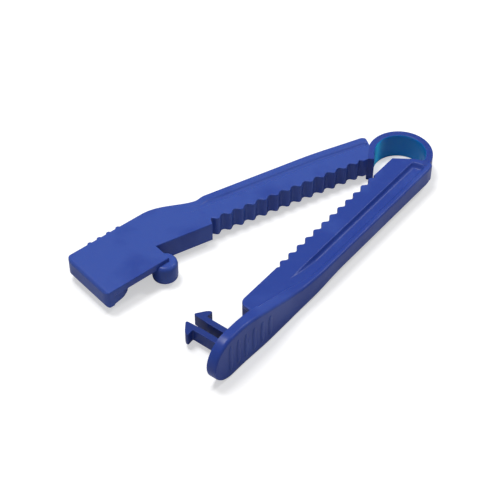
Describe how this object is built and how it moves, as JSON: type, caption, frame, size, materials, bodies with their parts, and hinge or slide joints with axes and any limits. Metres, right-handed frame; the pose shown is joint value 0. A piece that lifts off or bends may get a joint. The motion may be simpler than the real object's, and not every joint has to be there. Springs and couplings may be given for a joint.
{
  "type": "locking clip",
  "caption": "One-piece plastic locking clip: a C-shaped spring loop, toothed jaws on both arms, a latch receiver and a barbed fork.",
  "frame": {"origin": "middle of the spring loop's eye, halfway up the loop", "axes": "+Z along the loop's axis, up when the clip lies on its side; +X from the loop to the finger ends, halfway between the open arms; +Y towards the arm that carries the fork"},
  "size_m": [0.0599, 0.0319, 0.008],
  "materials": {
    "blue_plastic": "satin, slightly translucent royal blue"
  },
  "bodies": {
    "catch_arm": {"spring_loop": "blue_plastic", "catch_beam": "blue_plastic", "catch_jaw": "blue_plastic", "catch_finger_wall": "blue_plastic", "latch_roof": "blue_plastic", "latch_end_wall": "blue_plastic", "latch_heel_wall": "blue_plastic"},
    "prong_arm": {"prong_beam": "blue_plastic", "prong_jaw": "blue_plastic", "finger_paddle": "blue_plastic", "fork_base": "blue_plastic"},
    "tip_prong_body": {"tip_prong": "blue_plastic"},
    "heel_prong_body": {"heel_prong": "blue_plastic"}
  },
  "joints": [
    {"name": "closing", "type": "hinge", "parent": "catch_arm", "child": "prong_arm", "pos_m": [-0.00325, -0.00077, 0], "axis": [0, 0, 1], "range_deg": [-19.6, 3], "stiffness_Nm_per_rad": 0.03, "deforming": ["spring_loop", "tip_prong", "heel_prong"]},
    {"name": "tip_prong_flex", "type": "hinge", "parent": "prong_arm", "child": "tip_prong_body", "pos_m": [0.04748, 0.01193, 0], "axis": [0, 0, 1], "range_deg": [-7, 0], "stiffness_Nm_per_rad": 0.01},
    {"name": "heel_prong_flex", "type": "hinge", "parent": "prong_arm", "child": "heel_prong_body", "pos_m": [0.04507, 0.01146, 0], "axis": [0, 0, 1], "range_deg": [0, 10], "stiffness_Nm_per_rad": 0.01}
  ]
}
